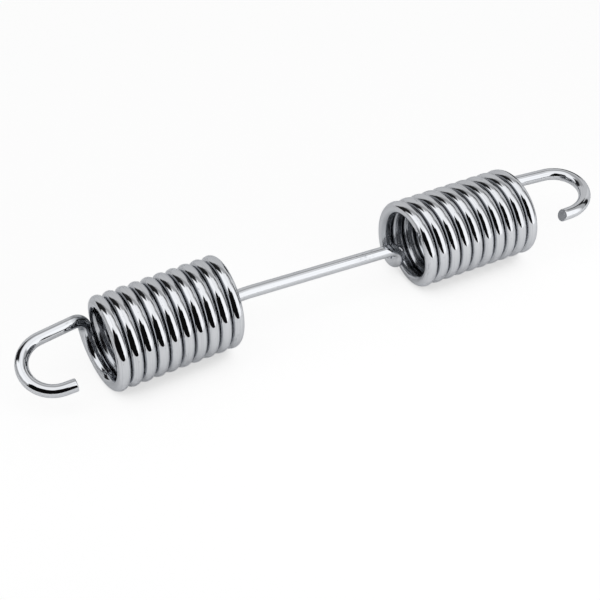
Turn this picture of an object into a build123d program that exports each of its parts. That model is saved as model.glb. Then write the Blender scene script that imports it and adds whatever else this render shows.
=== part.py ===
from build123d import *
import os
from math import cos, radians, sin

# Double coil return spring, bent from one length of round plated steel wire.
# Two close coils of opposite hand hang on one link, with an open hook at each far end.
# The spring lies on its coils: Z is up from the surface, X runs from the left hook to the
# right hook along the right coil, and the hook tips are on the -Y side.
# The origin is on the surface, under the middle of the spring's length and width.

# Wire
wire_diameter = 5.0
cut_edge_radius = 0.3

# Coils
coil_mean_diameter = 31.1
whole_turns = 10
left_turn_gap = 0.05
right_turn_gap = 0.25

# Places round the ring, counted from the far side (+Y) up towards the top
left_hook_place = -8.0
right_hook_place = -12.5
link_end_place = -38.0

# Curl that brings the last turn in from the ring, and the bend from it into the link
curl_inside_radius = 3.2
curl_turn = 140.0
curl_lean = 3.0
link_bend_inside_radius = 1.6

# Link, with the slight set that its wire has between the two coils
left_coil_heading = 2.8
link_heading = -2.6
straight_by_left_coil = 3.2
set_inside_radius = 42.5
straight_by_right_coil = 59.8

# Left hook
left_bend_inside_radius = 1.05
left_leg_length = 13.9
left_leg_inward_lean = 2.9
left_leg_forward_lean = -4.7
left_eye_inside_radius = 8.9
left_eye_turn = 173.0
left_eye_roll = 27.8
left_tail_length = 4.4

# Right hook
right_bend_inside_radius = 2.3
right_leg_length = 18.6
right_leg_inward_lean = 14.1
right_leg_forward_lean = 3.2
right_eye_inside_radius = 9.7
right_eye_turn = 173.0
right_eye_roll = 18.6
right_tail_length = 3.6

# The right cut face leans back from square, at a place counted from the top towards the front
right_cut_lean = 22.0
right_cut_place = 20.0

# Sizes that follow
wire_radius = wire_diameter / 2
coil_mean_radius = coil_mean_diameter / 2


def square_to(direction, heading):
    """Return the share of direction that is square to heading, one unit long."""
    return (direction - heading * direction.dot(heading)).normalized()


def bend(start, heading, towards, inside_radius, turn):
    """Draw a bend that leaves start along heading and curves towards the given side."""
    radius = inside_radius + wire_radius
    half_way = radians(turn / 2)
    whole_way = radians(turn)
    centre = start + towards * radius
    middle = centre - towards * (radius * cos(half_way)) + heading * (radius * sin(half_way))
    end = centre - towards * (radius * cos(whole_way)) + heading * (radius * sin(whole_way))
    return ThreePointArc(start, middle, end)


def bend_onto(start, heading, new_heading, inside_radius):
    """Draw the bend that turns the wire from heading to new_heading."""
    towards = square_to(new_heading, heading)
    return bend(start, heading, towards, inside_radius, heading.get_angle(new_heading))


def ring_place_direction(place):
    """Return the direction from a coil's axis to a place round its ring."""
    return Vector(0, cos(radians(place)), sin(radians(place)))


def coil_half(hand, turn_gap, hook_place, link_lean, bend_inside_radius, leg_length,
              inward_lean, forward_lean, eye_inside_radius, eye_turn, eye_roll, tail_length):
    """Draw a coil with its hook and its curl, on the coil's own axes.

    Z runs along the coil's axis from its hook end to the link, and X passes through the
    wire where the coil starts. A hand of 1 winds the coil right-handed, -1 left-handed.
    The wire leaves for the link leaning by link_lean towards the far side.
    """
    pitch = wire_diameter + turn_gap
    turned = 360 * whole_turns + hook_place - link_end_place
    axial = Vector(0, 0, 1)
    outward = Vector(1, 0, 0)
    far_side = outward.rotate(Axis.Z, hand * hook_place)
    last_outward = outward.rotate(Axis.Z, hand * turned)
    leg_heading = -Vector(
        sin(radians(inward_lean)),
        hand * sin(radians(forward_lean)),
        cos(radians(inward_lean)) * cos(radians(forward_lean)),
    ).normalized()
    inward = square_to(-outward, leg_heading)
    sideways = leg_heading.cross(inward) * hand
    eye_side = inward * cos(radians(eye_roll)) + sideways * sin(radians(eye_roll))
    link_direction = axial * cos(radians(link_lean)) + far_side * sin(radians(link_lean))

    with BuildLine() as half:
        coil = Helix(pitch, pitch * turned / 360, coil_mean_radius, lefthand=hand < 0)
        hook_bend = bend_onto(coil @ 0, -(coil % 0), leg_heading, bend_inside_radius)
        leg = Line(hook_bend @ 1, hook_bend @ 1 + leg_heading * leg_length)
        eye = bend(leg @ 1, leg_heading, eye_side, eye_inside_radius, eye_turn)
        Line(eye @ 1, eye @ 1 + (eye % 1) * tail_length)
        linkward = square_to(axial, coil % 1)
        curl_side = linkward * sin(radians(curl_lean)) - last_outward * cos(radians(curl_lean))
        curl = bend(coil @ 1, coil % 1, curl_side, curl_inside_radius, curl_turn)
        link_bend = bend_onto(curl @ 1, curl % 1, link_direction, link_bend_inside_radius)
    return half.line, link_bend @ 1


left_half, left_link_end = coil_half(
    hand=-1, turn_gap=left_turn_gap, hook_place=left_hook_place, link_lean=0,
    bend_inside_radius=left_bend_inside_radius, leg_length=left_leg_length,
    inward_lean=left_leg_inward_lean, forward_lean=left_leg_forward_lean,
    eye_inside_radius=left_eye_inside_radius, eye_turn=left_eye_turn, eye_roll=left_eye_roll,
    tail_length=left_tail_length,
)
right_half, right_link_end = coil_half(
    hand=1, turn_gap=right_turn_gap, hook_place=right_hook_place, link_lean=-link_heading,
    bend_inside_radius=right_bend_inside_radius, leg_length=right_leg_length,
    inward_lean=right_leg_inward_lean, forward_lean=right_leg_forward_lean,
    eye_inside_radius=right_eye_inside_radius, eye_turn=right_eye_turn, eye_roll=right_eye_roll,
    tail_length=right_tail_length + wire_radius,
)

# Each coil's axes in the spring's frame, the left coil turned by its own heading
to_right_hook = Vector(1, 0, 0)
left_axis = to_right_hook.rotate(Axis.Z, left_coil_heading)
link_axis = to_right_hook.rotate(Axis.Z, link_heading)
left_first_turn = ring_place_direction(left_hook_place).rotate(Axis.Z, left_coil_heading)
left_place = Plane(origin=(0, 0, 0), x_dir=left_first_turn, z_dir=left_axis)
right_first_turn = ring_place_direction(right_hook_place)
right_turned = Plane(origin=(0, 0, 0), x_dir=right_first_turn, z_dir=-to_right_hook)

# The link starts at the left coil, and the right coil hangs on its other end
link_start = left_place.from_local_coords(left_link_end)
with BuildLine() as whole_wire:
    by_left_coil = Line(link_start, link_start + left_axis * straight_by_left_coil)
    set_bend = bend_onto(by_left_coil @ 1, left_axis, link_axis, set_inside_radius)
    by_right_coil = Line(set_bend @ 1, set_bend @ 1 + link_axis * straight_by_right_coil)
    right_shift = by_right_coil @ 1 - right_turned.from_local_coords(right_link_end)
    right_place = Plane(origin=right_shift, x_dir=right_first_turn, z_dir=-to_right_hook)
    add(left_half.moved(left_place.location))
    add(right_half.moved(right_place.location))

# Over the origin, with the wire lying on the surface
extent = whole_wire.line.bounding_box()
over_origin = Location((-extent.center().X, -extent.center().Y, wire_radius - extent.min.Z))
with BuildLine() as wire_path:
    add(whole_wire.line.moved(over_origin))

# The right tail is made longer by the wire's radius, and the slanted cut takes that off
path = wire_path.wire()
tail_heading = -(path % 0)
upright = square_to(Vector(0, 0, 1), tail_heading)
frontward = upright.cross(tail_heading)
lean_side = upright * cos(radians(right_cut_place)) + frontward * sin(radians(right_cut_place))
cut_facing = tail_heading * cos(radians(right_cut_lean)) + lean_side * sin(radians(right_cut_lean))
right_cut = Plane(origin=path @ 0 - tail_heading * wire_radius, z_dir=cut_facing)

with BuildPart() as return_spring:
    with BuildSketch(Plane(origin=path @ 0, z_dir=path % 0)):
        Circle(wire_radius)
    sweep(path=path)
    with Locations(right_cut):
        Cylinder(
            wire_diameter, wire_diameter,
            align=(Align.CENTER, Align.CENTER, Align.MIN), mode=Mode.SUBTRACT,
        )
    cut_ends = return_spring.faces().filter_by(GeomType.PLANE)
    fillet(cut_ends.edges(), radius=cut_edge_radius)
return_spring.part.label = "return_spring"

os.makedirs("parts", exist_ok=True)
export_step(return_spring.part, "parts/return_spring.step")
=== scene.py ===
"""Looks of a double coil return spring, bent from one length of bright plated steel wire."""

import logging
from dataclasses import dataclass
from enum import Enum
from math import cos, degrees, pi, radians, sin, tan
from typing import Any, ClassVar, Optional, Sequence, Union

import bpy
from mathutils import Matrix, Vector


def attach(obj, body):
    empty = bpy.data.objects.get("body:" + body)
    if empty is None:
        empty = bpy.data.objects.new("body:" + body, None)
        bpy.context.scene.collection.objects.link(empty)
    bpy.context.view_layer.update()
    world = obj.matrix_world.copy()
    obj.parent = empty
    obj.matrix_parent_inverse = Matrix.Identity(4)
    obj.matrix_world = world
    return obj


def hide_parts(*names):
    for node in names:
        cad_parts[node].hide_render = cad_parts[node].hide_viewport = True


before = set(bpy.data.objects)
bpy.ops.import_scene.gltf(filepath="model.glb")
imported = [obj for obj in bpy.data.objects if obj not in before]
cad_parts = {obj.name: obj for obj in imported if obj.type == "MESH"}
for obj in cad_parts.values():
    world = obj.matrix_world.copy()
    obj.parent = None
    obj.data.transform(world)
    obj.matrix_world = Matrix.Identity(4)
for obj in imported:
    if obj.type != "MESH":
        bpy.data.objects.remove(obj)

log = logging.getLogger("return_spring")

MM = 0.001
Link = Union[float, int, Sequence[float], "Value", bpy.types.NodeSocket]
Settings = Optional[dict[str, Any]]
Sockets = Optional[dict[Union[str, int], Link]]
Colour = tuple[float, float, float, float]
Range = tuple[float, float]


class Hand(Enum):
    """The way a coil winds as it goes away from its hook."""

    RIGHT = 1
    LEFT = -1


class Value:
    """A node socket that Python's operators work on."""

    def __init__(self, tree: "NodeTree", socket: bpy.types.NodeSocket) -> None:
        """Wrap a socket of the tree."""
        self.tree = tree
        self.socket = socket

    def _math(self, operation: str, *values: Link) -> "Value":
        """Add one Math node and return its result."""
        node = self.tree.node("ShaderNodeMath", {"operation": operation}, dict(enumerate(values)))
        return Value(self.tree, node.outputs[0])

    def __add__(self, other: Link) -> "Value":
        """Return self + other."""
        return self._math("ADD", self, other)

    def __radd__(self, other: Link) -> "Value":
        """Return other + self."""
        return self._math("ADD", other, self)

    def __sub__(self, other: Link) -> "Value":
        """Return self - other."""
        return self._math("SUBTRACT", self, other)

    def __rsub__(self, other: Link) -> "Value":
        """Return other - self."""
        return self._math("SUBTRACT", other, self)

    def __mul__(self, other: Link) -> "Value":
        """Return self * other."""
        return self._math("MULTIPLY", self, other)

    def __rmul__(self, other: Link) -> "Value":
        """Return other * self."""
        return self._math("MULTIPLY", other, self)

    def __truediv__(self, other: Link) -> "Value":
        """Return self / other."""
        return self._math("DIVIDE", self, other)

    def __rtruediv__(self, other: Link) -> "Value":
        """Return other / self."""
        return self._math("DIVIDE", other, self)

    def __pow__(self, other: Link) -> "Value":
        """Return self to the power of other."""
        return self._math("POWER", self, other)

    def __rpow__(self, other: Link) -> "Value":
        """Return other to the power of self."""
        return self._math("POWER", other, self)

    def __neg__(self) -> "Value":
        """Return minus self."""
        return self._math("MULTIPLY", self, -1.0)

    def highest(self, other: Link) -> "Value":
        """Return the larger of self and other."""
        return self._math("MAXIMUM", self, other)

    def lowest(self, other: Link) -> "Value":
        """Return the smaller of self and other."""
        return self._math("MINIMUM", self, other)

    def over(self, other: Link) -> "Value":
        """Return 1 where self is greater than other, else 0."""
        return self._math("GREATER_THAN", self, other)

    def root(self) -> "Value":
        """Return the square root of self."""
        return self._math("SQRT", self)

    def step(self, low: float, high: float) -> "Value":
        """Return a smooth step that rises from 0 at low to 1 at high.

        Args:
            low: the value where the step starts.
            high: the value where the step ends; lower than low for a falling step.

        Returns:
            The step's value, from 0 to 1.
        """
        a, b = (low, high) if low < high else (high, low)
        settings = {"interpolation_type": "SMOOTHSTEP"}
        node = self.tree.node("ShaderNodeMapRange", settings, {0: self, 1: a, 2: b})
        rise = Value(self.tree, node.outputs[0])
        return rise if low < high else 1.0 - rise


class NodeTree:
    """A node tree that is filled one node at a time."""

    def __init__(self, tree: bpy.types.NodeTree) -> None:
        """Take an empty tree."""
        self.tree = tree

    def node(self, kind: str, settings: Settings = None, values: Sockets = None) -> bpy.types.Node:
        """Add a node, set its options and fill its sockets.

        Args:
            kind: the node's type.
            settings: options of the node, set before its sockets are filled.
            values: a value or a link for each socket, by name or by place.

        Returns:
            The new node.
        """
        node = self.tree.nodes.new(kind)
        for name, setting in (settings or {}).items():
            setattr(node, name, setting)
        for name, value in (values or {}).items():
            self.feed(node.inputs[name], value)
        return node

    def feed(self, socket: bpy.types.NodeSocket, value: Link) -> None:
        """Link a value to a socket, or set it there.

        Args:
            socket: the input to fill.
            value: a number, a list of numbers, a socket or a Value.
        """
        if isinstance(value, Value):
            value = value.socket
        if isinstance(value, bpy.types.NodeSocket):
            self.tree.links.new(value, socket)
        else:
            socket.default_value = value

    def value(
        self, kind: str, settings: Settings = None, values: Sockets = None,
        out: Union[str, int] = 0,
    ) -> Value:
        """Add a node as node() does and return one of its outputs."""
        return Value(self, self.node(kind, settings, values).outputs[out])

    def blend(self, share: Link, under: Link, over: Link) -> bpy.types.NodeSocket:
        """Lay one colour over another by a share from 0 to 1 and return the result."""
        values = {0: share, 6: under, 7: over}
        return self.node("ShaderNodeMix", {"data_type": "RGBA"}, values).outputs[2]

    def parts(self, vector: Link) -> list[Value]:
        """Split a vector into its three numbers."""
        node = self.node("ShaderNodeSeparateXYZ", None, {0: vector})
        return [Value(self, output) for output in node.outputs]


def new_material(name: str) -> tuple[bpy.types.Material, NodeTree]:
    """Add a material with an empty node tree.

    Args:
        name: the material's name.

    Returns:
        The material and its tree.
    """
    material = bpy.data.materials.new(name)
    material.use_nodes = True
    material.node_tree.nodes.clear()
    return material, NodeTree(material.node_tree)


@dataclass(frozen=True)
class Bend:
    """A round bend in the wire, by three points on its centreline."""

    name: str
    start: Vector
    middle: Vector
    end: Vector
    heading: Vector
    radius: float
    turn: float


@dataclass(frozen=True)
class Run:
    """A straight run of wire."""

    name: str
    start: Vector
    end: Vector


@dataclass(frozen=True)
class Turns:
    """The close turns of a coil, round the Z axis of its own place."""

    name: str
    radius: float
    pitch: float
    turned: float
    hand: Hand


Stretch = Union[Bend, Run, Turns]


def square_to(direction: Vector, heading: Vector) -> Vector:
    """Return the share of direction that is square to heading, one unit long."""
    return (direction - heading * direction.dot(heading)).normalized()


def bend(
    name: str, start: Vector, heading: Vector, towards: Vector, radius: float, turn: float,
) -> Bend:
    """Lay a bend that leaves start along heading and curves towards the given side.

    Args:
        name: the bend's name.
        start: where the bend starts.
        heading: the wire's direction there.
        towards: the side that the wire curves to, square to heading.
        radius: the centreline's radius.
        turn: how far the wire turns, in radians.

    Returns:
        The bend.
    """
    centre = start + towards * radius

    def at(angle: float) -> Vector:
        """Return the point of the centreline where the wire has turned by the angle."""
        return centre - towards * (radius * cos(angle)) + heading * (radius * sin(angle))

    last = heading * cos(turn) + towards * sin(turn)
    return Bend(name, start, at(turn / 2), at(turn), last, radius, turn)


def bend_onto(
    name: str, start: Vector, heading: Vector, new_heading: Vector, radius: float,
) -> Bend:
    """Lay the bend that turns the wire from heading to new_heading."""
    towards = square_to(new_heading, heading)
    return bend(name, start, heading, towards, radius, heading.angle(new_heading))


@dataclass(frozen=True)
class HookSizes:
    """The sizes of one hook, in millimetres and degrees."""

    bend_inside_radius: float
    leg_length: float
    inward_lean: float
    forward_lean: float
    eye_inside_radius: float
    eye_turn: float
    eye_roll: float
    tail_length: float


@dataclass
class CoilHalf:
    """One close coil with its hook and its curl into the link, on the coil's own axes."""

    side: str
    hand: Hand
    turn_gap: float
    hook_place: float
    link_lean: float
    hook: HookSizes
    wire: "SpringWire"

    hook_count: ClassVar[int] = 5

    def stretches(self) -> list[Stretch]:
        """Lay out the wire from the hook's cut end to the start of the link.

        Returns:
            The hook's stretches, hook_count of them, then the turns and the curl's stretches.
        """
        wire = self.wire
        radius = wire.coil_mean_diameter / 2 * MM
        pitch = (wire.wire_diameter + self.turn_gap) * MM
        turned = radians(360 * wire.whole_turns + self.hook_place - wire.link_end_place)
        leaving = Vector((0, self.hand.value, pitch / (2 * pi * radius))).normalized()
        turns = Turns(f"{self.side} turns", radius, pitch, turned, self.hand)
        return [*self.hook_stretches(radius, leaving), turns, *self.curl_stretches(turns, leaving)]

    def hook_stretches(self, radius: float, leaving: Vector) -> list[Stretch]:
        """Lay out the hook from its cut end to the coil's first turn.

        Each stretch is drawn outwards from the coil, so the wire runs through it backwards.

        Args:
            radius: the coil's mean radius.
            leaving: the wire's direction where the first turn starts.

        Returns:
            The cut edge, tail, eye, leg and hook bend.
        """
        hook, hand = self.hook, self.hand.value
        inward_lean, forward_lean = radians(hook.inward_lean), radians(hook.forward_lean)
        leg_heading = -Vector((
            sin(inward_lean),
            hand * sin(forward_lean),
            cos(inward_lean) * cos(forward_lean),
        )).normalized()
        inward = square_to(Vector((-1, 0, 0)), leg_heading)
        sideways = leg_heading.cross(inward) * hand
        roll = radians(hook.eye_roll)
        eye_side = inward * cos(roll) + sideways * sin(roll)
        bend_radius = self.wire.centreline_radius(hook.bend_inside_radius)
        eye_radius = self.wire.centreline_radius(hook.eye_inside_radius)
        first = Vector((radius, 0, 0))
        hook_bend = bend_onto(f"{self.side} hook bend", first, -leaving, leg_heading, bend_radius)
        leg_end = hook_bend.end + leg_heading * hook.leg_length * MM
        leg = Run(f"{self.side} leg", hook_bend.end, leg_end)
        eye_turn = radians(hook.eye_turn)
        eye = bend(f"{self.side} eye", leg_end, leg_heading, eye_side, eye_radius, eye_turn)
        tail_end = eye.end + eye.heading * hook.tail_length * MM
        edge_start = tail_end - eye.heading * self.wire.cut_edge * MM
        tail = Run(f"{self.side} tail", eye.end, edge_start)
        edge = Run(f"{self.side} cut edge", edge_start, tail_end)
        return [edge, tail, eye, leg, hook_bend]

    def curl_stretches(self, turns: Turns, leaving: Vector) -> list[Stretch]:
        """Lay out the curl that brings the last turn in from the ring, and the bend after it.

        Args:
            turns: the coil's turns.
            leaving: the wire's direction where the first turn starts.

        Returns:
            The curl and the bend into the link.
        """
        wire, hand = self.wire, self.hand.value
        outward, axial = Vector((1, 0, 0)), Vector((0, 0, 1))
        whole_turn = Matrix.Rotation(hand * turns.turned, 3, "Z")
        last_outward, arriving = whole_turn @ outward, whole_turn @ leaving
        last = last_outward * turns.radius + axial * turns.pitch * turns.turned / (2 * pi)
        far_side = Matrix.Rotation(hand * radians(self.hook_place), 3, "Z") @ outward
        lean, curl_lean = radians(self.link_lean), radians(wire.curl_lean)
        link_direction = axial * cos(lean) + far_side * sin(lean)
        linkward = square_to(axial, arriving)
        curl_side = linkward * sin(curl_lean) - last_outward * cos(curl_lean)
        curl = bend(
            f"{self.side} curl", last, arriving, curl_side,
            wire.centreline_radius(wire.curl_inside_radius), radians(wire.curl_turn),
        )
        link_bend = bend_onto(
            f"{self.side} link bend", curl.end, curl.heading, link_direction,
            wire.centreline_radius(wire.link_bend_inside_radius),
        )
        return [curl, link_bend]


@dataclass(frozen=True)
class SlantedCut:
    """A cut face that leans back from square to the wire."""

    middle: Vector
    heading: Vector
    lean_side: Vector
    slope: float


@dataclass(frozen=True)
class Placed:
    """A stretch, the place it is carried to, and whether the wire runs through it backwards."""

    stretch: Stretch
    place: Matrix
    backwards: bool


def ring_place(place: float) -> Vector:
    """Return the direction from a coil's axis to a place, in degrees from the far side."""
    return Vector((0, cos(radians(place)), sin(radians(place))))


def place_of(x_axis: Vector, z_axis: Vector, origin: Vector) -> Matrix:
    """Work out the matrix that carries a coil's own axes to the spring's.

    Args:
        x_axis: the direction of the coil's own X.
        z_axis: the direction of the coil's own Z, square to x_axis.
        origin: the place of the coil's own origin.

    Returns:
        The matrix.
    """
    y_axis = z_axis.cross(x_axis)
    columns = Matrix((x_axis, y_axis, z_axis)).transposed().to_4x4()
    columns.translation = origin
    return columns


@dataclass
class SpringWire:
    """The whole wire: hook, coil, link, coil and hook, in millimetres and degrees."""

    wire_diameter: float = 5.0
    cut_edge: float = 0.3
    coil_mean_diameter: float = 31.1
    whole_turns: int = 10
    left_turn_gap: float = 0.05
    right_turn_gap: float = 0.25
    left_hook_place: float = -8.0
    right_hook_place: float = -12.5
    link_end_place: float = -38.0
    curl_inside_radius: float = 3.2
    curl_turn: float = 140.0
    curl_lean: float = 3.0
    link_bend_inside_radius: float = 1.6
    left_coil_heading: float = 2.8
    link_heading: float = -2.6
    straight_by_left_coil: float = 3.2
    set_inside_radius: float = 42.5
    straight_by_right_coil: float = 59.8
    left_hook: HookSizes = HookSizes(1.05, 13.9, 2.9, -4.7, 8.9, 173.0, 27.8, 4.4)
    right_hook: HookSizes = HookSizes(2.3, 18.6, 14.1, 3.2, 9.7, 173.0, 18.6, 3.6)
    right_cut_lean: float = 22.0
    right_cut_place: float = 20.0
    facets_round: int = 40
    steps_per_turn: int = 84

    def centreline_radius(self, inside_radius: float) -> float:
        """Return a bend's centreline radius in metres from its inside radius in millimetres."""
        return (inside_radius + self.wire_diameter / 2) * MM

    def route(self) -> list[Placed]:
        """Lay the wire out from the left cut end to the right one.

        Returns:
            Every stretch with its place.
        """
        left = CoilHalf(
            "left", Hand.LEFT, self.left_turn_gap, self.left_hook_place, 0.0,
            self.left_hook, self,
        )
        right = CoilHalf(
            "right", Hand.RIGHT, self.right_turn_gap, self.right_hook_place,
            -self.link_heading, self.right_hook, self,
        )
        across = Vector((1, 0, 0))
        turn_left = Matrix.Rotation(radians(self.left_coil_heading), 3, "Z")
        left_axis = turn_left @ across
        link_axis = Matrix.Rotation(radians(self.link_heading), 3, "Z") @ across
        left_place = place_of(turn_left @ ring_place(self.left_hook_place), left_axis, Vector())
        left_route = left.stretches()
        start = left_place @ left_route[-1].end
        near = Run("link by left coil", start, start + left_axis * self.straight_by_left_coil * MM)
        set_radius = self.centreline_radius(self.set_inside_radius)
        link_set = bend_onto("link set", near.end, left_axis, link_axis, set_radius)
        far = Run("link", link_set.end, link_set.end + link_axis * self.straight_by_right_coil * MM)
        right_route = right.stretches()
        right_place = place_of(ring_place(self.right_hook_place), -across, Vector())
        right_place.translation = far.end - right_place @ right_route[-1].end
        still = Matrix.Identity(4)
        last = CoilHalf.hook_count
        by_hook = [Placed(part, left_place, at < last) for at, part in enumerate(left_route)]
        between = [Placed(part, still, False) for part in (near, link_set, far)]
        to_hook = [Placed(part, right_place, at >= last) for at, part in enumerate(right_route)]
        return by_hook + between + to_hook[::-1]

    def right_cut(self, tip: Placed) -> SlantedCut:
        """Return the right hook's cut, which leans at a place counted from the top to the front.

        Args:
            tip: the last stretch of the route.

        Returns:
            The cut.
        """
        start, end = tip.place @ tip.stretch.start, tip.place @ tip.stretch.end
        heading = (end - start).normalized()
        upright = square_to(Vector((0, 0, 1)), heading)
        place = radians(self.right_cut_place)
        lean_side = upright * cos(place) + upright.cross(heading) * sin(place)
        return SlantedCut(end, heading, lean_side, tan(radians(self.right_cut_lean)))

    def build(self, finish: bpy.types.Material) -> bpy.types.Object:
        """Sweep the wire's round section along its route.

        Args:
            finish: the plated wire's material.

        Returns:
            The wire as one plain mesh, over the origin and on the surface.
        """
        piece = WireTree(self).grow("return_spring_wire", finish)
        low, high = bounds_of(piece)
        middle = (low + high) / 2
        piece.data.transform(Matrix.Translation((-middle.x, -middle.y, -low.z)))
        return piece


def bounds_of(piece: bpy.types.Object) -> tuple[Vector, Vector]:
    """Measure a mesh object that stands at the origin.

    Args:
        piece: the object.

    Returns:
        Its lowest and highest corners.
    """
    points = [vertex.co for vertex in piece.data.vertices]
    low = Vector(min(point[axis] for point in points) for axis in range(3))
    high = Vector(max(point[axis] for point in points) for axis in range(3))
    return low, high


class WireTree:
    """The geometry node tree that draws the wire's centreline and sweeps its section along it."""

    last_share = 0.999
    edge_points = 7
    least_run_points = 3
    least_bend_steps = 6
    run_step = 1.0 * MM
    bend_step = 0.9 * MM
    least_divided_radius = 8 * MM
    same_point = 0.00001
    most_smooth_corners = 4
    cut_reach = 3 * MM

    def __init__(self, wire: SpringWire) -> None:
        """Start an empty tree with its input and its output.

        Args:
            wire: the wire whose sizes the tree takes.
        """
        self.wire = wire
        self.settings: dict[str, Any] = {}
        group = bpy.data.node_groups.new("Coiled wire", "GeometryNodeTree")
        self.group = group
        self.nodes = NodeTree(group)
        group.interface.new_socket(
            name="Geometry", in_out="OUTPUT", socket_type="NodeSocketGeometry",
        )
        self.entry = group.nodes.new("NodeGroupInput")

    def size(self, name: str, kind: str, setting: Any) -> Value:
        """Add a named input to the tree and return its socket inside.

        Args:
            name: the input's name.
            kind: the socket's type.
            setting: the value that the modifier gives it.

        Returns:
            The input's value inside the tree.
        """
        socket = self.group.interface.new_socket(name=name, in_out="INPUT", socket_type=kind)
        self.settings[socket.identifier] = setting
        return Value(self.nodes, self.entry.outputs[socket.identifier])

    def length(self, name: str, setting: float) -> Value:
        """Add a named number to the tree."""
        return self.size(name, "NodeSocketFloat", setting)

    def point(self, name: str, setting: Vector) -> Value:
        """Add a named point to the tree."""
        return self.size(name, "NodeSocketVector", tuple(setting))

    def store(self, geometry: Link, name: str, value: Link, kind: str = "FLOAT") -> Value:
        """Store a named value on every point of the geometry.

        Args:
            geometry: the curve, points or mesh.
            name: the value's name.
            value: the value on each point.
            kind: the value's data type.

        Returns:
            The geometry with the value stored.
        """
        settings = {"data_type": kind, "domain": "POINT"}
        values = {"Geometry": geometry, "Name": name, "Value": value}
        return self.nodes.value("GeometryNodeStoreNamedAttribute", settings, values)

    def stored(self, name: str, kind: str = "FLOAT") -> Value:
        """Return a named value that store() has put on the points."""
        settings = {"data_type": kind}
        return self.nodes.value("GeometryNodeInputNamedAttribute", settings, {"Name": name})

    def vector(self, operation: str, *values: Link, out: int = 0) -> Value:
        """Add one Vector Math node and return its result."""
        settings = {"operation": operation}
        return self.nodes.value("ShaderNodeVectorMath", settings, dict(enumerate(values)), out)

    def centreline(self, placed: Placed, steps: Value) -> Value:
        """Draw one stretch of the centreline, on the stretch's own axes.

        Args:
            placed: the stretch and its place.
            steps: the number of steps in a turn of the coil.

        Returns:
            The stretch's curve.
        """
        stretch = placed.stretch
        name = stretch.name.capitalize()
        if isinstance(stretch, Turns):
            turns = self.length(f"{name} count", stretch.turned / (2 * pi))
            radius = self.length(f"{name} mean radius", stretch.radius)
            pitch = self.length(f"{name} pitch", stretch.pitch)
            values = {
                "Resolution": steps, "Rotations": turns, "Height": turns * pitch,
                "Start Radius": radius, "End Radius": radius,
                "Reverse": stretch.hand is Hand.RIGHT,
            }
            return self.nodes.value("GeometryNodeCurveSpiral", None, values)
        if isinstance(stretch, Run):
            values = {
                "Start": self.point(f"{name} start", stretch.start),
                "End": self.point(f"{name} end", stretch.end),
            }
            line = self.nodes.value("GeometryNodeCurvePrimitiveLine", {"mode": "POINTS"}, values)
            steps_along = int((stretch.end - stretch.start).length / self.run_step)
            count = max(self.least_run_points, steps_along)
            if "edge" in stretch.name:
                count = self.edge_points
            values = {"Curve": line, "Count": count}
            return self.nodes.value("GeometryNodeResampleCurve", {"mode": "COUNT"}, values)
        divided_length = stretch.turn * max(stretch.radius, self.least_divided_radius)
        values = {
            "Resolution": max(self.least_bend_steps, int(divided_length / self.bend_step)),
            "Start": self.point(f"{name} start", stretch.start),
            "Middle": self.point(f"{name} middle", stretch.middle),
            "End": self.point(f"{name} end", stretch.end),
        }
        return self.nodes.value("GeometryNodeCurveArc", {"mode": "POINTS"}, values)

    def ordered(self, curve: Value, number: int, placed: Placed) -> Value:
        """Number a stretch's points along the wire and carry the stretch to its place.

        Args:
            curve: the stretch's centreline.
            number: the stretch's number along the wire.
            placed: the stretch and its place.

        Returns:
            The curve in its place.
        """
        factor = self.nodes.value("GeometryNodeSplineParameter", out="Factor")
        along = 1.0 - factor if placed.backwards else factor
        curve = self.store(curve, "order", number + along * self.last_share)
        if placed.place == Matrix.Identity(4):
            return curve
        name, turned = placed.stretch.name.capitalize(), tuple(placed.place.to_euler())
        if isinstance(placed.stretch, Turns):
            place = self.nodes.value("GeometryNodeInputPosition")
            inward = self.vector("NORMALIZE", self.vector("MULTIPLY", place, (-1, -1, 0)))
            inward = self.nodes.value("ShaderNodeVectorRotate", {"rotation_type": "EULER_XYZ"}, {
                "Vector": inward, "Rotation": turned,
            })
            curve = self.store(curve, "inward", inward, "FLOAT_VECTOR")
            axis = self.point(f"{name} axis", placed.place.to_3x3() @ Vector((0, 0, 1)))
            curve = self.store(curve, "coil_axis", axis, "FLOAT_VECTOR")
            count = placed.stretch.turned / (2 * pi)
            curve = self.store(curve, "from_hook", factor * count)
            curve = self.store(curve, "to_link", (1.0 - factor) * count)
        elif "hook bend" in placed.stretch.name:
            curve = self.store(curve, "tight_bend", 1.0)
        return self.nodes.value("GeometryNodeTransform", None, {
            "Geometry": curve,
            "Translation": self.point(f"{name} place", placed.place.translation),
            "Rotation": turned,
        })

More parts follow.
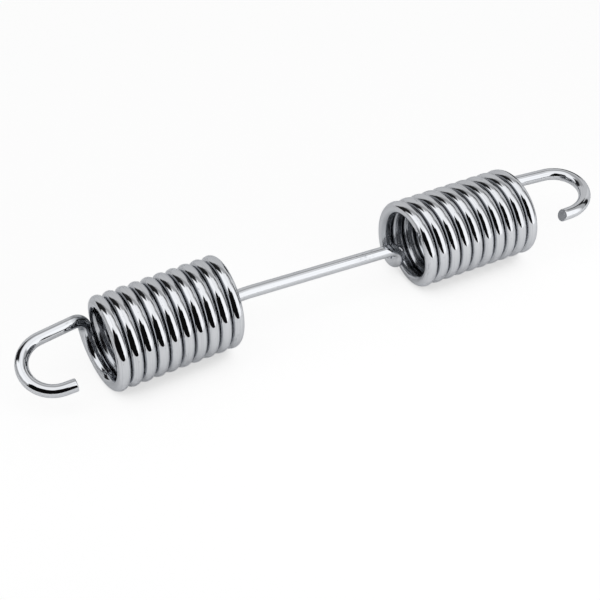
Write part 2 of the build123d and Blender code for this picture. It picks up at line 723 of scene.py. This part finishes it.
    def grow(self, name: str, finish: bpy.types.Material) -> bpy.types.Object:
        """Build the tree, run it once and return its result as a plain mesh object.

        Args:
            name: the new piece's name.
            finish: the material that the tree sets.

        Returns:
            A plain mesh object with no modifier.
        """
        nodes, wire = self.nodes, self.wire
        steps = self.size("Steps per turn", "NodeSocketInt", wire.steps_per_turn)
        facets = self.size("Facets round the wire", "NodeSocketInt", wire.facets_round)
        wire_radius = self.length("Wire radius", wire.wire_diameter / 2 * MM)
        cut_edge = self.length("Cut edge radius", wire.cut_edge * MM)
        join = nodes.node("GeometryNodeJoinGeometry")
        route_plan = wire.route()
        for number, placed in enumerate(route_plan):
            curve = self.ordered(self.centreline(placed, steps), number, placed)
            settings = {"mode": "EVALUATED"}
            points = nodes.value("GeometryNodeCurveToPoints", settings, {"Curve": curve})
            nodes.feed(join.inputs[0], points)
        merged = nodes.value("GeometryNodeMergeByDistance", {"mode": "ALL"}, {
            "Geometry": join.outputs[0], "Distance": self.same_point,
        })
        route = nodes.value("GeometryNodePointsToCurves", None, {
            "Points": merged, "Weight": self.stored("order"),
        })
        along = nodes.value("GeometryNodeSplineParameter", out="Length")
        whole = nodes.value("GeometryNodeSplineLength", out="Length")
        from_end = along.lowest(whole - along)
        dip = (cut_edge - from_end).highest(0.0)
        rounding = (cut_edge * cut_edge - dip * dip).highest(0.0).root()
        narrowed = (wire_radius - cut_edge + rounding) / wire_radius
        lengths = {"along": along, "from_end": from_end, "to_right_end": whole - along}
        for attribute, length in lengths.items():
            route = self.store(route, attribute, length)
        place = nodes.value("GeometryNodeInputPosition")
        route = self.store(route, "centre", place, "FLOAT_VECTOR")
        section = nodes.value("GeometryNodeCurvePrimitiveCircle", {"mode": "RADIUS"}, {
            "Resolution": facets, "Radius": wire_radius,
        })
        section = self.store(section, "round_section", place, "FLOAT_VECTOR")
        solid = nodes.value("GeometryNodeCurveToMesh", None, {
            "Curve": route, "Profile Curve": section, "Scale": narrowed, "Fill Caps": True,
        })
        solid = self.marked(solid, place, wire_radius)
        solid = self.slanted(solid, wire.right_cut(route_plan[-1]))
        sides = nodes.value("GeometryNodeInputMeshFaceNeighbors", out="Vertex Count")
        solid = nodes.value("GeometryNodeSetShadeSmooth", {"domain": "FACE"}, {
            "Geometry": solid, "Shade Smooth": self.most_smooth_corners + 1.0 - sides,
        })
        solid = nodes.value("GeometryNodeRealizeInstances", None, {"Geometry": solid})
        solid = nodes.value("GeometryNodeSetMaterial", None, {
            "Geometry": solid, "Material": finish,
        })
        leave = self.group.nodes.new("NodeGroupOutput")
        nodes.feed(leave.inputs[0], solid)
        return self.result(name)

    def marked(self, solid: Value, place: Value, wire_radius: Value) -> Value:
        """Store what the finish follows on each point.

        That is how far it faces the coil's axis and the turn beside it, and where it would be
        if the wire were straight.

        Args:
            solid: the swept wire.
            place: each point's place.
            wire_radius: the wire's radius.

        Returns:
            The wire with these values stored.
        """
        outward = self.vector("SUBTRACT", place, self.stored("centre", "FLOAT_VECTOR"))
        inward, axis = (self.stored(name, "FLOAT_VECTOR") for name in ("inward", "coil_axis"))
        inner_side = self.vector("DOT_PRODUCT", outward, inward, out=1) / wire_radius
        link_side = self.vector("DOT_PRODUCT", outward, axis, out=1) / wire_radius
        turn_before = self.stored("from_hook").over(1.0)
        turn_after = self.stored("to_link").over(1.0)
        seam = (link_side * turn_after).highest(-link_side * turn_before)
        solid = self.store(self.store(solid, "inner_side", inner_side), "seam", seam)
        x, y, _ = self.nodes.parts(self.stored("round_section", "FLOAT_VECTOR"))
        straight = self.nodes.value("ShaderNodeCombineXYZ", None, {
            0: x, 1: y, 2: self.stored("along"),
        })
        return self.store(solid, "straight_wire", straight, "FLOAT_VECTOR")

    def slanted(self, solid: Value, cut: SlantedCut) -> Value:
        """Lean the right cut face by sliding the wire's last few millimetres along themselves.

        Args:
            solid: the swept wire.
            cut: the cut that the end takes.

        Returns:
            The wire with its cut leaning.
        """
        reach = self.length("Right cut reach", self.cut_reach)
        share = (1.0 - self.stored("to_right_end") / reach).highest(0.0)
        place = self.nodes.value("GeometryNodeInputPosition")
        from_middle = self.vector("SUBTRACT", place, self.point("Right cut middle", cut.middle))
        lean_side = self.point("Right cut lean side", cut.lean_side)
        sideways = self.vector("DOT_PRODUCT", from_middle, lean_side, out=1)
        offset = self.nodes.value("ShaderNodeVectorMath", {"operation": "SCALE"}, {
            0: self.point("Right cut heading", cut.heading),
            "Scale": -(sideways * self.length("Right cut slope", cut.slope) * share),
        })
        values = {"Geometry": solid, "Offset": offset}
        return self.nodes.value("GeometryNodeSetPosition", None, values)

    def result(self, name: str) -> bpy.types.Object:
        """Run the tree on an empty mesh and keep what comes out.

        Args:
            name: the new piece's name.

        Returns:
            A plain mesh object with no modifier.
        """
        carrier = bpy.data.objects.new(name, bpy.data.meshes.new(name))
        bpy.context.scene.collection.objects.link(carrier)
        modifier = carrier.modifiers.new("Coiled wire", "NODES")
        modifier.node_group = self.group
        for identifier, setting in self.settings.items():
            modifier[identifier] = setting
        evaluated = carrier.evaluated_get(bpy.context.evaluated_depsgraph_get())
        mesh = bpy.data.meshes.new_from_object(evaluated)
        carrier.modifiers.clear()
        carrier.data = mesh
        mesh.name = name
        return carrier


@dataclass(frozen=True)
class Grain:
    """Noise over the wire, drawn out along it where along is under 1."""

    along: float
    size: float
    detail: float
    rough: float = 0.5
    low: float = 0.0
    high: float = 1.0

    def lay(self, tree: NodeTree, straight: Link) -> Value:
        """Add the noise to a material.

        Args:
            tree: the material's tree.
            straight: each point's place if the wire were straight.

        Returns:
            The noise, from 0 to 1.
        """
        drawn = tree.node("ShaderNodeVectorMath", {"operation": "MULTIPLY"}, {
            0: straight, 1: (1, 1, self.along),
        })
        return tree.value("ShaderNodeTexNoise", None, {
            "Vector": drawn.outputs[0], "Scale": self.size, "Detail": self.detail,
            "Roughness": self.rough,
        })

    def mask(self, tree: NodeTree, straight: Link) -> Value:
        """Return a mask that rises from 0 where the noise is low to 1 where it is high."""
        return self.lay(tree, straight).step(self.low, self.high)


@dataclass(frozen=True)
class Mark:
    """What one kind of mark does to the plating, with its depth in metres."""

    depth: float
    dulling: float
    roughness: float


@dataclass(frozen=True)
class PlatedFinish:
    """Bright plating on drawn steel wire: mirror-like, faintly wavy, scratched and pitted, with
    painted shade on the coils' insides, in the seams between turns and at the hook bends, where the
    plating is also crazed.
    """

    name: str = "plated_wire"
    tone: Colour = (0.560, 0.572, 0.594, 1.0)
    dull_tone: Colour = (0.30, 0.31, 0.33, 1.0)
    # Painted shade on the coils' insides.
    inner_shade_tone: Colour = (0.41, 0.425, 0.45, 1.0)
    # Painted shade in the seams between turns and at the hook bends, where the plating is also
    # crazed.
    shade_and_craze_tone: Colour = (0.06, 0.07, 0.085, 1.0)
    cut_tone: Colour = (0.76, 0.78, 0.81, 1.0)
    edge_tone: Colour = (0.76, 0.77, 0.79, 1.0)
    roughness: float = 0.025
    inner_roughness: float = 0.18
    cloud_roughness: float = 0.03
    cut_roughness: float = 0.5
    wave_height: float = 0.000010
    streak_height: float = 0.000005
    draw_line_height: float = 0.0000013
    die_line_dulling: float = 0.28
    pit: Mark = Mark(0.000004, 0.9, 0.15)
    scratch: Mark = Mark(0.0000015, 0.25, 0.12)
    scuff: Mark = Mark(0.0000022, 0.9, 0.10)

    waves: Grain = Grain(0.4, 420.0, 1.0)
    streaks: Grain = Grain(0.12, 1500.0, 2.0, 0.55)
    draw_lines: Grain = Grain(0.03, 5200.0, 3.0, 0.6)
    cloud: Grain = Grain(0.35, 160.0, 3.0)
    pits: Grain = Grain(1.0, 1900.0, 1.0, 0.5, 0.73, 0.80)
    scuffs: Grain = Grain(0.35, 1500.0, 2.0, 0.6, 0.56, 0.68)
    scuffed_spots: Grain = Grain(0.6, 75.0, 1.0, 0.5, 0.58, 0.68)
    die_lines: Grain = Grain(0.01, 2600.0, 2.0, 0.5, 0.48, 0.72)
    scratches: Grain = Grain(0.02, 3000.0, 1.0, 0.5, 0.66, 0.74)
    scratched_spots: Grain = Grain(1.0, 130.0, 1.0, 0.5, 0.5, 0.62)
    crazes: Grain = Grain(0.5, 420.0, 2.0, 0.5, 0.36, 0.56)

    cut_face: Range = (0.00005, 0.00001)
    inside_range: Range = (0.0, 0.9)
    calm_range: Range = (-0.2, 0.45)
    calming: float = 0.95
    first_turn_end: Range = (0.9, 1.2)
    first_turn_share: float = 0.25
    seam_shade_line: Range = (0.86, 1.0)
    seam_shade_line_share: float = 0.48
    seam_shade: Range = (0.62, 0.90)
    seam_shade_share: float = 0.16
    least_bend_darkening: float = 0.35
    craze_and_shade_share: float = 0.85

    def material(self) -> bpy.types.Material:
        """Build the finish's material.

        Returns:
            The material.
        """
        material, tree = new_material(self.name)
        straight = tree.node("ShaderNodeAttribute", {"attribute_name": "straight_wire"}).outputs[1]

        def stored(name: str) -> Value:
            """Return a number that the wire's tree has stored."""
            return tree.value("ShaderNodeAttribute", {"attribute_name": name}, out="Fac")

        def noise(grain: Grain) -> Value:
            """Return a grain's noise with its middle at 0."""
            return grain.lay(tree, straight) - 0.5

        pits, scuffs, scuffed_spots, die_lines, scratches, scratched_spots, crazes = (
            grain.mask(tree, straight) for grain in (
                self.pits, self.scuffs, self.scuffed_spots, self.die_lines,
                self.scratches, self.scratched_spots, self.crazes,
            )
        )
        scuffs, scratches = scuffs * scuffed_spots, scratches * scratched_spots
        cut_face = stored("from_end").step(*self.cut_face)
        past_first_turn = stored("from_hook").step(*self.first_turn_end)
        past_first_turn = self.first_turn_share + (1.0 - self.first_turn_share) * past_first_turn
        inner_side, to_seam = stored("inner_side"), stored("seam")
        # Painted shade: the coils' inner faces take a darker tone, weaker on the first turn by the
        # open end; they are also rougher.
        inside = inner_side.step(*self.inside_range) * past_first_turn
        calm = inner_side.step(*self.calm_range) * past_first_turn
        # Painted shade in the seams, where each turn lies against the next: a dark line and a wider
        # faint shade.
        seam = (
            to_seam.step(*self.seam_shade_line) * self.seam_shade_line_share
            + to_seam.step(*self.seam_shade) * self.seam_shade_share
        )
        # The tight hook bends darken: crazed plating and painted shade.
        crazing_and_shade = stored("tight_bend") * (self.least_bend_darkening + (1.0 - self.least_bend_darkening) * crazes)
        height = (
            noise(self.waves) * self.wave_height
            + noise(self.streaks) * self.streak_height
            + noise(self.draw_lines) * self.draw_line_height
            - pits * self.pit.depth
            - scratches * self.scratch.depth
            - scuffs * self.scuff.depth
        ) * (1.0 - calm * self.calming)
        bump = tree.node("ShaderNodeBump", None, {
            "Strength": 1.0, "Distance": 1.0, "Height": height,
        })
        duller = (
            pits * self.pit.dulling + scratches * self.scratch.dulling
            + scuffs * self.scuff.dulling + die_lines * self.die_line_dulling
        ).lowest(1.0)
        tone = tree.blend(duller, self.tone, self.dull_tone)
        tone = tree.blend(inside, tone, self.inner_shade_tone)
        tone = tree.blend(seam.highest(crazing_and_shade * self.craze_and_shade_share), tone, self.shade_and_craze_tone)
        tone = tree.blend(cut_face, tone, self.cut_tone)
        roughness = (
            self.roughness + noise(self.cloud) * self.cloud_roughness
            + scratches * self.scratch.roughness + pits * self.pit.roughness
            + scuffs * self.scuff.roughness + inside * self.inner_roughness
            + cut_face * (self.cut_roughness - self.roughness)
        )
        shader = tree.node("ShaderNodeBsdfPrincipled", None, {
            "Base Color": tone, "Metallic": 1.0, "Roughness": roughness,
            "Normal": bump.outputs[0], "Specular Tint": self.edge_tone,
        })
        tree.node("ShaderNodeOutputMaterial", None, {"Surface": shader.outputs[0]})
        return material


@dataclass(frozen=True)
class Patch:
    """A patch of the tent's wall, between two bearings and two heights, in degrees.

    A bearing is 0 at the front (-Y) and grows towards +X. A lean slants a side by so many
    degrees of bearing for each degree of height.
    """

    left: float
    right: float
    low: float
    high: float
    light: float
    soft: float = 6.0
    left_lean: float = 0.0
    right_lean: float = 0.0

    def cover(self, bearing: Value, height: Value) -> Value:
        """Work out how far the patch covers a direction.

        Args:
            bearing: the direction's bearing in degrees.
            height: its height in degrees.

        Returns:
            1 on the patch and 0 off it, with soft edges.
        """
        half = self.soft / 2
        from_left = bearing - height * self.left_lean
        from_right = bearing - height * self.right_lean
        return (
            from_left.step(self.left - half, self.left + half)
            * from_right.step(self.right + half, self.right - half)
            * height.step(self.low - half, self.low + half)
            * height.step(self.high + half, self.high - half)
        )


@dataclass(frozen=True)
class BackSheet:
    """The rounded grey sheet at the back of the tent, and the dark gap round its rim."""

    middle: float = 147.3
    half_width: float = 72.7
    high: float = 58.5
    roundness: float = 3.0
    light: float = 0.84
    soft: float = 3.0
    right_gap: float = 6.0
    left_gap: float = 10.5
    gap_widens: Range = (20.0, 55.0)
    gap_edge: Range = (0.75, 1.35)
    gap_light: float = 0.02
    top_light: float = 0.55
    top_right: Range = (110.0, 135.0)
    top_left: Range = (210.0, 190.0)

    def lay(self, light: Value, bearing: Value, height: Value) -> Value:
        """Lay the sheet and its rim over the light that the wall has.

        Args:
            light: the wall's light so far.
            bearing: the bearing in degrees, running on past 180.
            height: the height in degrees.

        Returns:
            The wall's light with the sheet on it.
        """
        from_middle = bearing - self.middle
        across = from_middle / self.half_width
        across = across.highest(-across) ** self.roundness
        upward = (height.highest(0.0) / self.high) ** self.roundness
        out = ((across + upward) ** (1.0 / self.roundness) - 1.0) * self.half_width
        light = light + (self.light - light) * out.step(self.soft, -self.soft)
        wider = from_middle.step(*self.gap_widens)
        half_gap = self.right_gap + (self.left_gap - self.right_gap) * wider
        off_gap = (out.highest(-out) / half_gap).step(*self.gap_edge)
        over_top = bearing.step(*self.top_right) * bearing.step(*self.top_left)
        gap_light = self.gap_light + (self.top_light - self.gap_light) * over_top
        return light + (gap_light - light) * (1.0 - off_gap)


@dataclass
class Studio:
    """The pale floor, the light tent and the camera."""

    tent_radius: float = 0.70
    tent_back: float = 0.31
    tent_reach: float = 110.0
    tent_rings: int = 32
    sides: int = 96
    sheet_radius: float = 0.42
    sheet_front: float = 0.172
    floor_tone: Colour = (0.93, 0.93, 0.93, 1.0)
    floor_glow: float = 0.24
    glow_slant: float = -0.1
    glow_range: Range = (-0.0715, 0.0685)
    floor_white: float = 0.88
    contact_samples: int = 16
    contact_reach: float = 0.014
    contact_fall: float = 4.6
    contact_least: float = 0.70
    roof_light: float = 1.50
    back_light: float = 0.62
    back_right: Range = (45.0, 60.0)
    back_left: Range = (215.0, 195.0)
    back_top: Range = (79.0, 70.0)
    bearing_seam: float = -100.0
    creases: float = 15.0
    crease_size: float = 12.0
    crease_detail: float = 4.0
    panels: tuple[Patch, ...] = (
        Patch(-127, -72, 24, 60, 1.60),
        Patch(-6, 61, -20, 60, 1.66, 10.0),
    )
    back_sheet: BackSheet = BackSheet()
    gaps: tuple[Patch, ...] = (
        Patch(-128, -72, -20, 24, 0.62, 6.0),
        Patch(88, 104, 8, 46, 0.98, 4.0),
        Patch(60, 112, 66, 78, 1.15, 5.0),
        Patch(-152, -122, 50, 62, 0.42, 8.0),
        Patch(-144, -133.5, -20, 56, 0.02, 5.0, -0.2, 0.24),
        Patch(118, 140, -20, 27, 0.02, 5.0, 0.0, -0.4),
        Patch(-85, 9.5, -20, 53.5, 0.006, 3.5, 0.25, -0.43),
    )
    camera_place: Vector = Vector((-0.17963, -0.32524, 0.31817)).freeze()
    camera_across: Vector = Vector((0.8869, -0.4620, 0.0)).freeze()
    camera_back: Vector = Vector((-0.3522, -0.6761, 0.6472)).freeze()
    camera_lens: float = 73.9
    camera_sensor: float = 36.0
    camera_near: float = 0.01

    def build(self) -> None:
        """Set up the floor, the light tent, the world and the camera."""
        self.floor()
        self.tent()
        self.world()
        self.camera()

    def stage_mesh(
        self, name: str, points: list[Sequence[float]], faces: list[Sequence[int]],
        material: bpy.types.Material,
    ) -> bpy.types.Object:
        """Add a stage object.

        Args:
            name: the object's name.
            points: its mesh's points.
            faces: its mesh's faces.
            material: its material.

        Returns:
            The object.
        """
        mesh = bpy.data.meshes.new(name)
        mesh.from_pydata(points, [], faces)
        mesh.materials.append(material)
        stage = bpy.data.objects.new(name, mesh)
        bpy.context.scene.collection.objects.link(stage)
        return stage

    def floor(self) -> None:
        """Lay the round pale floor under the spring, with its front cut straight."""
        material, tree = new_material("pale_floor")
        seen = Value(tree, tree.node("ShaderNodeLightPath").outputs["Is Camera Ray"])
        x, y, _ = tree.parts(tree.node("ShaderNodeTexCoord").outputs["Object"])
        frontward = (x * self.glow_slant - y).step(*self.glow_range)
        sheet = tree.node("ShaderNodeBsdfDiffuse", None, {"Color": self.floor_tone})
        glow = tree.node("ShaderNodeEmission", None, {
            "Color": frontward, "Strength": self.floor_glow,
        })
        paper = tree.node("ShaderNodeAddShader", None, {0: sheet.outputs[0], 1: glow.outputs[0]})
        samples, reach = {"samples": self.contact_samples}, {"Distance": self.contact_reach}
        # Camera rays see the floor mostly as white light, darkened by a painted contact shadow
        # where ambient occlusion finds the spring close by; the rest is the lit paper with its own
        # shadow.
        open_sky = tree.value("ShaderNodeAmbientOcclusion", samples, reach, "AO")
        painted_contact_shadow = (1.0 - (1.0 - open_sky) ** self.contact_fall).highest(self.contact_least)
        white = tree.node("ShaderNodeEmission", None, {"Color": painted_contact_shadow, "Strength": 1.0})
        both = tree.node("ShaderNodeMixShader", None, {
            0: seen * self.floor_white, 1: paper.outputs[0], 2: white.outputs[0],
        })
        tree.node("ShaderNodeOutputMaterial", None, {"Surface": both.outputs[0]})
        rim = []
        for side in range(self.sides):
            angle = 2 * pi * side / self.sides
            y_place = max(self.sheet_radius * sin(angle), -self.sheet_front)
            rim.append((self.sheet_radius * cos(angle), y_place, 0.0))
        self.stage_mesh("floor", rim, [tuple(range(self.sides))], material)

    def tent(self) -> None:
        """Raise the light tent: white front, grey back sheet and dark openings."""
        material, tree = new_material("light_tent")
        place = tree.node("ShaderNodeTexCoord").outputs["Object"]
        x, y, z = tree.parts(place)
        crease = tree.node("ShaderNodeTexNoise", None, {
            "Vector": place, "Scale": self.crease_size, "Detail": self.crease_detail,
        })
        shifts = tree.parts(crease.outputs["Color"])
        sideways, upward = ((shift - 0.5) * self.creases for shift in shifts[:2])
        arc = {"operation": "ARCTAN2"}
        bearing = tree.value("ShaderNodeMath", arc, {0: x, 1: -y}) * degrees(1.0) + sideways
        onward = bearing + 360.0 * (1.0 - bearing.over(self.bearing_seam))
        level = (x * x + y * y).root()
        height = tree.value("ShaderNodeMath", arc, {0: z, 1: level}) * degrees(1.0) + upward
        behind = onward.step(*self.back_right) * onward.step(*self.back_left)
        behind = behind * height.step(*self.back_top)
        light = self.roof_light + (self.back_light - self.roof_light) * behind
        for panel in self.panels:
            cover = panel.cover(bearing, height) * (1.0 - behind)
            light = light + (panel.light - light) * cover
        light = self.back_sheet.lay(light, onward, height)
        for gap in self.gaps:
            light = light + (gap.light - light) * gap.cover(bearing, height)
        glow = tree.node("ShaderNodeEmission", None, {"Color": light, "Strength": 1.0})
        tree.node("ShaderNodeOutputMaterial", None, {"Surface": glow.outputs[0]})
        wall = self.stage_mesh("light_tent", *self.dome(), material)
        wall.visible_camera = False

    def dome(self) -> tuple[list[Sequence[float]], list[Sequence[int]]]:
        """Work out the tent's wall, which faces inwards.

        Returns:
            Its points and faces.
        """
        radius, sides = self.tent_radius, self.sides
        points: list[Sequence[float]] = [(0.0, self.tent_back, radius)]
        for ring in range(1, self.tent_rings + 1):
            slope = radians(self.tent_reach) * ring / self.tent_rings
            for side in range(sides):
                angle = 2 * pi * side / sides
                out = radius * sin(slope)
                y_place = out * sin(angle) + self.tent_back
                points.append((out * cos(angle), y_place, radius * cos(slope)))
        faces: list[Sequence[int]] = [(0, 1 + (s + 1) % sides, 1 + s) for s in range(sides)]
        for ring in range(self.tent_rings - 1):
            upper, lower = 1 + ring * sides, 1 + (ring + 1) * sides
            for side in range(sides):
                after = (side + 1) % sides
                faces.append((upper + side, upper + after, lower + after, lower + side))
        return points, faces

    def world(self) -> None:
        """Give the world a plain white for the background."""
        world = bpy.data.worlds.new("studio")
        world.use_nodes = True
        world.node_tree.nodes.clear()
        tree = NodeTree(world.node_tree)
        seen = tree.node("ShaderNodeLightPath").outputs["Is Camera Ray"]
        glow = tree.node("ShaderNodeBackground", None, {"Color": (1, 1, 1, 1), "Strength": seen})
        tree.node("ShaderNodeOutputWorld", None, {"Surface": glow.outputs[0]})
        bpy.context.scene.world = world

    def camera(self) -> None:
        """Stand the camera where the photograph was taken from."""
        across, back = self.camera_across.normalized(), self.camera_back.normalized()
        up = back.cross(across).normalized()
        across = up.cross(back)
        turn = Matrix((across, up, back)).transposed().to_4x4()
        turn.translation = self.camera_place
        lens = bpy.data.cameras.new("camera")
        lens.sensor_width = self.camera_sensor
        lens.lens = self.camera_lens
        lens.clip_start = self.camera_near
        camera = bpy.data.objects.new("camera", lens)
        camera.matrix_world = turn
        bpy.context.scene.collection.objects.link(camera)
        bpy.context.scene.camera = camera


def main() -> None:
    """Build the spring's wire and its studio, and report each piece."""
    logging.basicConfig(level=logging.INFO)
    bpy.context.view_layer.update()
    bpy.context.scene.view_settings.view_transform = "Standard"
    wire = SpringWire()
    piece = wire.build(PlatedFinish().material())
    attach(piece, "root")
    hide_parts("return_spring")
    log.info("wire: %d faces", len(piece.data.polygons))
    Studio().build()
    log.info("studio: floor, light tent, world and camera")


if __name__ == "__main__":
    main()
